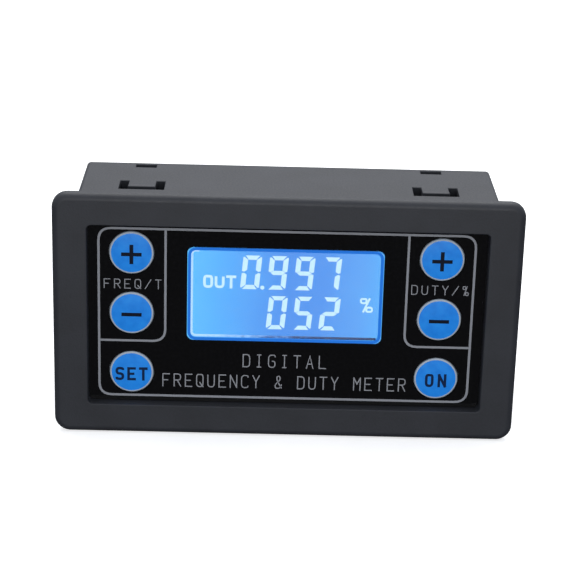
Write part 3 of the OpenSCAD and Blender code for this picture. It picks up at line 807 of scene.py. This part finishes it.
# %% Letters as strokes on a grid
LETTERS = {
    "A": "00 26 40, 12 32",
    "C": "~45 46 06 00 40 41",
    "D": "00 06, ~06 46 40 00",
    "E": "46 06 00 40, 03 33",
    "F": "46 06 00, 03 33",
    "G": "~45 46 06 00 40 43 23",
    "I": "16 36, 26 20, 10 30",
    "L": "06 00 40",
    "M": "00 06, 06 23, 23 46, 46 40",
    "N": "00 06, 06 40, 40 46",
    "O": "~26 46 40 00 06 26",
    "Q": "~26 46 40 00 06 26, 22 40",
    "R": "00 06, ~06 46 43 03, 23 40",
    "S": "~45 46 06 03 43 40 00 01",
    "T": "06 46, 26 20",
    "U": "~06 00 40 46",
    "Y": "06 23, 46 23, 23 20",
    "&": "~40 14 16 36 34 02 00 30 42",
    "%": "10 36, ~16 26 24 04 06 16, ~30 40 42 22 20 30",
    "/": "00 46",
    "+": "03 43, 20 26",
    "-": "03 43",
}
GRID_W, GRID_H = 4, 6
LETTER_CURVE = 1.9   # reach of a rounded corner, in grid steps
PEN_STEP = 0.0015    # each stroke of a letter lies this much prouder than the last, in mm


def write(text, left, right, bottom, top, letter_w, width, front, back):
    """The strokes of a line of text that fills the space from left to right."""
    pitch = (right - left - letter_w) / max(1, len(text) - 1)
    parts = []
    for i, letter in enumerate(text):
        for j, run in enumerate(LETTERS[letter].split(",") if letter != " " else []):
            curved = "~" in run
            path = [(int(p[0]), int(p[1])) for p in run.replace("~", "").split()]
            path = rounded(path, LETTER_CURVE) if curved else [Vector(p) for p in path]
            placed = [Vector((left + i * pitch + p.x / GRID_W * (letter_w - width) + width / 2,
                              bottom + p.y / GRID_H * (top - bottom - width) + width / 2)) for p in path]
            if not curved:
                lead = (placed[0] - placed[1]).normalized() * width / 2
                tail = (placed[-1] - placed[-2]).normalized() * width / 2
                placed[0] += lead
                placed[-1] += tail
            parts.append(stroke(placed, width, front - PEN_STEP * j, back))
    return joined(parts)


print("letters drawn:", len(LETTERS))

# %% Print the words on the face
WORD_LINE = 0.185    # width of a stroke, in mm
WORD_W = 1.3         # width of a letter
LABEL_LINE = 0.15
LABEL_W = 1.1
# left and right count from the middle of the print, bottom and top are heights in the frame
words = [
    ("title", "FREQUENCY & DUTY METER", -20.95, 21.1, -13.45, -11.0, WORD_W, WORD_LINE),
    ("kind", "DIGITAL", -7.15, 7.25, -9.55, -7.1, WORD_W, WORD_LINE),
    ("left_label", "FREQ/T", -30.95, -21.15, 4.4, 6.15, LABEL_W, LABEL_LINE),
    ("right_label", "DUTY/%", 21.25, 31.05, 4.5, 6.25, LABEL_W, LABEL_LINE),
]
for name, text, left, right, bottom, top, letter_w, width in words:
    strokes = write(text, left + face_x, right + face_x, bottom, top, letter_w, width, ink_front, ink_back)
    make_piece("face_" + name, *strokes, word_ink, "case", "face_film")
print("words printed:", [row[1] for row in words])

# %% [markdown]
# ## The buttons
# Each button is a short round cap with a slightly crowned face. It is turned, like a lathe part:
# a profile from the axis outward is swept round the axis. The printed ring follows the same
# profile a hair in front of it, and the sign lies on the crown. All three ride on the button's
# own body, so they move together when it is pressed.

# %% Sweep a profile round an axis
SIDES = 72           # sides of a turned piece


def turned(profile, x, z):
    """The points and faces of a profile of (radius, y) swept round the axis at x and z."""
    points, rings = [], []
    for radius, y in profile:
        count = SIDES if radius > 0 else 1
        rings.append((len(points), count))
        for i in range(count):
            angle = 2 * math.pi * i / SIDES
            points.append((x + radius * math.cos(angle), y, z + radius * math.sin(angle)))
    faces = []
    for (a, a_count), (b, b_count) in zip(rings, rings[1:]):
        for i in range(SIDES):
            j = (i + 1) % SIDES
            quad = [a + i % a_count, a + j % a_count, b + j % b_count, b + i % b_count]
            faces.append(list(dict.fromkeys(quad)))
    return points, faces


print("a turned cone has", len(turned([(0, 0), (1, 1)], 0, 0)[1]), "sides")

# %% Turn the caps and the rings
CROWN = 0.12         # height of the crown above the edge of the cap's face, in mm
EDGE = 0.22          # rounding of the cap's rim
FLANGE_W = 0.6       # how far the flange stands out past the cap
FLANGE_T = 0.8       # thickness of the flange
FLANGE_EDGE = 0.1    # chamfer of the flange's edges
FLANGE_DEPTH = 1.55  # from the rear of the face film to the front of the flange
HUB_R = 2.4          # radius of the hub behind the flange
RING_W = 0.3         # width of the ring on the cap's face
NEAR = 0.01          # points of the rim closer than this to the ring's inner edge are skipped
SKIN = 0.012         # how far the print on a cap stands proud of it
SUNK = 0.02          # how far the ring reaches into the cap
FACE_RINGS = 10      # rings of faces on the crown
SIGNS = {"freq_up": "+", "freq_down": "-", "duty_up": "+", "duty_down": "-", "set": "SET", "output": "ON"}


def cap_profile(radius, front):
    """The crowned face and the rounded rim of a cap, from the axis outward."""
    flat = radius - EDGE
    face = [(flat * i / FACE_RINGS, front + CROWN * (i / FACE_RINGS) ** 2) for i in range(FACE_RINGS + 1)]
    rim = [(flat + EDGE * math.sin(a), front + CROWN + EDGE * (1 - math.cos(a)))
           for a in (math.radians(15 * k) for k in range(1, 7))]
    return face + rim


def crown_depth(radius, front, distance):
    """How deep the cap's face lies at a distance from its axis."""
    return front + CROWN * min(1.0, distance / (radius - EDGE)) ** 2


for name in BUTTONS:
    low, high = box_mm(name + "_button")
    x, z = (low.x + high.x) / 2, (low.z + high.z) / 2
    flange = (high.x - low.x) / 2
    radius = flange - FLANGE_W
    front, back = low.y, high.y
    rim = cap_profile(radius, front)
    start_y = film_high.y + FLANGE_DEPTH
    end_y = start_y + FLANGE_T
    outer = [(radius, start_y), (flange - FLANGE_EDGE, start_y), (flange, start_y + FLANGE_EDGE),
             (flange, end_y - FLANGE_EDGE), (flange - FLANGE_EDGE, end_y), (HUB_R, end_y),
             (HUB_R, back), (0.0, back)]
    cap = make_piece(name + "_cap", *turned(rim + outer, x, z), finish["button_blue"], name, "button_blue")
    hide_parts(name + "_button")
    # the part of the cap behind the face film takes the darker copy, which is painted shade
    also(cap, cap_painted_shade, lambda p: p.y > film_high.y)
    inner = radius - RING_W
    path = [(inner, crown_depth(radius, front, inner))]
    path += [(r, y) for r, y in rim if r > inner + NEAR]
    path += [(radius, start_y), (flange - FLANGE_EDGE, start_y)]
    skin = [(r + SKIN / 2, y - SKIN) for r, y in path]
    under = [(r - SUNK, y + SUNK) for r, y in reversed(path)]
    ring = turned(skin + under + skin[:1], x, z)
    make_piece(name + "_ring", *ring, ring_ink, name, "button_blue")
print("caps, rings:", len(BUTTONS), "each of diameter", round(2 * radius, 2), "mm")

# %% Print the signs
SIGN_LINE = 0.64     # width of a sign's bars, in mm
SIGN_HALF = 1.72     # half their length
SIGN_DROP = 0.25     # how far a sign sits below the middle of its cap
CAP_WORD_LINE = 0.44
CAP_WORD_DROP = 0.32
CAP_WORD_HALF_H = 1.22
CAP_LETTER_HALF_STEP = 0.92
CAP_LETTER_W = 1.48

for name in BUTTONS:
    low, high = box_mm(name + "_button")
    x, z = (low.x + high.x) / 2, (low.z + high.z) / 2
    text = SIGNS[name]
    if len(text) == 1:
        half_w, half_h = SIGN_HALF, SIGN_HALF
        letter_w, drop = 2 * SIGN_HALF, SIGN_DROP
        line, cap_ink = SIGN_LINE, sign_ink
    else:
        half_w, half_h = CAP_LETTER_HALF_STEP * len(text), CAP_WORD_HALF_H
        letter_w, drop = CAP_LETTER_W, CAP_WORD_DROP
        line, cap_ink = CAP_WORD_LINE, cap_word_ink
    bottom, top = z - drop - half_h, z - drop + half_h
    sign = write(text, x - half_w, x + half_w, bottom, top, letter_w, line, low.y - SKIN, low.y + CROWN)
    make_piece(name + "_sign", *sign, cap_ink, name, "button_blue")
print("signs:", SIGNS)

# %% [markdown]
# ## The window and its border
# The display sits behind a clear window with a blue printed border. The border is a closed
# ring of ink on the window's face. Just inside it, a thin glowing bead is a painted highlight for
# the light caught in the window's edge: bright at the left and the bottom, fading to dark blue at the right.

# %% Border and bead
BORDER = 0.5         # width of the border, in mm
BORDER_CORNER = 1.3
BEAD = 0.36          # width of the bead
BEAD_CORNER = 0.8
BEAD_TOP = 1.2       # how far the bead runs along the top
BEAD_SHORT = 0.3     # how far it stops short of the border at the right
BEAD_FRONT = 0.05    # where it starts and ends behind the window
BEAD_BACK = 0.3


def window_path(inset, radius):
    """A rounded rectangle that lies inset inside the window's outline, as a closed path."""
    left, right = window_low.x + inset, window_high.x - inset
    bottom, top = window_low.z + inset, window_high.z - inset
    loop = [(window_mid.x, top), (right, top), (right, bottom), (left, bottom), (left, top),
            (window_mid.x, top)]
    return rounded(loop, radius)[:-1]


border = stroke(window_path(BORDER / 2, BORDER_CORNER), BORDER,
                window_low.y - INK, window_low.y + INK, closed=True)
make_piece("window_border", *border, border_ink, "case", "window_clear")
bead_left = window_low.x + BORDER + BEAD / 2
bead_bottom = window_low.z + BORDER + BEAD / 2
bead_top = window_high.z - BORDER - BEAD / 2
bead_path = rounded([(bead_left + BEAD_TOP, bead_top), (bead_left, bead_top), (bead_left, bead_bottom),
                     (window_high.x - BORDER - BEAD_SHORT, bead_bottom)], BEAD_CORNER)
# the bead is a painted highlight: a glowing strip for the light caught in the window's edge
bead = stroke(bead_path, BEAD, window_high.y + BEAD_FRONT, window_high.y + BEAD_BACK)
make_piece("window_edge_painted_highlight", *bead, bead_light, "case", "window_clear")
print("border and bead drawn, window", round(window_high.x - window_low.x, 2), "mm wide")

# %% [markdown]
# ## Seven-segment digits
# Each digit has up to seven bars that meet in mitred corners with thin gaps between them, and
# the whole digit leans a little to the right. One function gives the outline of each bar in an
# upright digit, a table says which bars each figure lights, and the lean is added last.

# %% Outlines of the seven bars
DIGIT_W = 3.2        # width and height of an upright digit, in mm
DIGIT_H = 6.08
BAR_V = 0.86         # thickness of the upright bars
BAR_H = 0.76         # thickness of the level bars
GAP = 0.1            # between two bars
CHAMFER = 0.3        # cut of a digit's outer corners
LEAN = math.tan(math.radians(5))
BARS_OF = {"0": "abcdef", "2": "abged", "5": "afgcd", "7": "abc", "9": "abcdfg"}


def bars():
    """The outline of each bar: a is the top, b to f go round clockwise, and g is the middle."""
    w, h, v, t, g, c = DIGIT_W, DIGIT_H, BAR_V, BAR_H, GAP / 2, CHAMFER
    top = [(c + g, h), (w - c - g, h), (w - v * 0.8 - g, h - t * 0.62), (w - v - g, h - t),
           (v + g, h - t), (v * 0.8 + g, h - t * 0.62)]
    upper_left = [(0, h - c - g), (c * 0.55, h - c * 0.75), (v, h - t - g), (v, h / 2 + t / 2 + g),
                  (v * 0.45, h / 2 + g * 2.2), (0, h / 2 + t * 0.3)]
    level = [(v * 0.42, h / 2), (v, h / 2 + t / 2), (w - v, h / 2 + t / 2), (w - v * 0.42, h / 2),
             (w - v, h / 2 - t / 2), (v, h / 2 - t / 2)]

    def flip(outline):
        return [(x, h - z) for x, z in outline]

    def across(outline):
        return [(w - x, z) for x, z in outline]

    return {"a": top, "b": across(upper_left), "c": across(flip(upper_left)), "d": flip(top),
            "e": flip(upper_left), "f": upper_left, "g": level}


print("bars in a digit:", len(bars()))

# %% Set the two rows of digits
COLUMN = 4.53        # distance between two digits
FIRST_X = -7.73      # left edge of the first column from the display's middle
ROW_TOP = 0.46       # bottom of the upper row above the display's middle
ROW_BOTTOM = -6.79
DOT_X, DOT_Z = -3.9, 0.78
DOT_R = 0.36
DOT_SIDES = 20
SEGMENT_RISE = 0.03  # how far the segments stand proud of the display's front
SEGMENT_SUNK = 0.01
segment_front = display_y - SEGMENT_RISE
segment_back = display_y + SEGMENT_SUNK


def digit(figure, column, row):
    """The lit bars of one figure."""
    outlines = bars()
    left = window_mid.x + FIRST_X + column * COLUMN
    bottom = window_mid.z + row
    parts = []
    for bar in BARS_OF[figure]:
        outline = [(left + x + z * LEAN, bottom + z) for x, z in outlines[bar]]
        parts.append(thick(outline, segment_front, segment_back))
    return joined(parts)


def dot(x, z, radius):
    """A round point."""
    turns = [2 * math.pi * i / DOT_SIDES for i in range(DOT_SIDES)]
    return thick([(x + radius * math.cos(a), z + radius * math.sin(a)) for a in turns],
                 segment_front, segment_back)


upper = [digit(figure, i, ROW_TOP) for i, figure in enumerate("0997")]
upper.append(dot(window_mid.x + DOT_X, window_mid.z + DOT_Z, DOT_R))
lower = [digit(figure, i + 1, ROW_BOTTOM) for i, figure in enumerate("052")]
make_piece("display_upper_row", *joined(upper), segment_light, "case", "polariser")
make_piece("display_lower_row", *joined(lower), segment_light, "case", "polariser")
print("rows of digits:", len(upper) - 1, "and", len(lower))

# %% Set the two flags
# left, right, bottom and top count from the display's middle, then come letter and line width
flags = [
    ("out_flag", "OUT", -14.02, -8.4, 0.5, 2.85, 1.7, 0.46),
    ("per_cent", "%", 12.85, 15.15, -3.35, -0.7, 2.3, 0.34),
]
for name, text, left, right, bottom, top, letter_w, width in flags:
    strokes = write(text, window_mid.x + left, window_mid.x + right, window_mid.z + bottom,
                    window_mid.z + top, letter_w, width, segment_front, segment_back)
    make_piece("display_" + name, *strokes, segment_light, "case", "polariser")
print("flags:", [row[1] for row in flags])

# %% [markdown]
# ## Floor and light
# The meter stands on a plain white floor under one large soft lamp, above it and a little behind,
# so its top is brightest and the lower wall of the bezel's recess stays dark. A smaller lamp in
# front, only a little higher than the face, lights the bezel, and a dim one behind keeps the rear
# readable. The surroundings are pale above and dark below: seen from above, a glossy upright
# face reflects what lies below the horizon, and stays nearly black.

# %% Lay the floor
FLOOR_HALF = 3000.0  # half the floor's side, in mm


def floor_mesh():
    """One large square at the height of the bezel's lower edge."""
    corners = [(-1, -1), (1, -1), (1, 1), (-1, 1)]
    return [(x * FLOOR_HALF, y * FLOOR_HALF, cad_low.z / MM) for x, y in corners], [(0, 1, 2, 3)]


floor_points, floor_faces = floor_mesh()
floor_data = bpy.data.meshes.new("floor")
floor_data.from_pydata([Vector(p) * MM for p in floor_points], [], floor_faces)
floor = bpy.data.objects.new("floor", floor_data)
bpy.context.scene.collection.objects.link(floor)
floor_paint, floor_tree, floor_shader = start("white_table", "#f4f4f4", 0.8, {"Emission Strength": 0.7})
speckle = add(floor_tree, "TexNoise", {"Scale": 400.0, "Detail": 2.0})
pale = ramp(floor_tree, speckle.outputs["Fac"], (0.3, "#f2f2f2"), (0.7, "#f6f6f6"))
connect(floor_tree, floor_shader, colour=pale, glow=pale)
paint(floor, floor_paint)
floor.visible_diffuse = False
floor.visible_glossy = False
floor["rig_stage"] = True
print("floor at", round(cad_low.z / MM, 2), "mm")


# %% Hang the lamps
def lamp(name, size, power, place):
    """A soft square lamp of a size in metres and a power in watts, aimed from place at the meter."""
    data = bpy.data.lights.new(name, "AREA")
    data.size = size
    data.energy = power
    light = bpy.data.objects.new(name, data)
    bpy.context.scene.collection.objects.link(light)
    light.location = place
    beam = Vector() - Vector(place)
    light.rotation_euler = beam.to_track_quat("-Z", "Y").to_euler()


lamp("overhead_softbox", 0.5, 1.7, (0.0, 0.2, 0.42))
lamp("front_fill", 0.25, 1.1, (0.0, -0.6, 0.06))
lamp("rear_fill", 0.6, 0.3, (0.15, 0.75, 0.3))
print("lamps hung")

# %% Paint the surroundings
world = bpy.data.worlds.new("studio")
bpy.context.scene.world = world
world.use_nodes = True
sky = world.node_tree
direction = add(sky, "TexCoord").outputs["Generated"]
height = add(sky, "SeparateXYZ", {0: direction}).outputs["Z"]
raised = remap(sky, height, -1.0, 1.0)
shade = ramp(sky, raised.outputs[0], (0.0, "#464649"), (0.42, "#49494d"), (0.5, "#a6aab2"),
             (0.6, "#aeb2ba"), (1.0, "#b8bcc4"))
sky.links.new(shade.outputs["Color"], sky.nodes["Background"].inputs["Color"])
sky.nodes["Background"].inputs["Strength"].default_value = 1.0
bpy.context.scene.view_settings.view_transform = "Standard"
print("surroundings painted")

# %% [markdown]
# ## The size at the end
# The visual model must keep the size of the CAD frame, so its box is printed here, to set
# against the CAD box that was printed at the start.

# %% Print the size
low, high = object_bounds()
print("visual box in mm:", [round(v / MM, 2) for v in high - low])
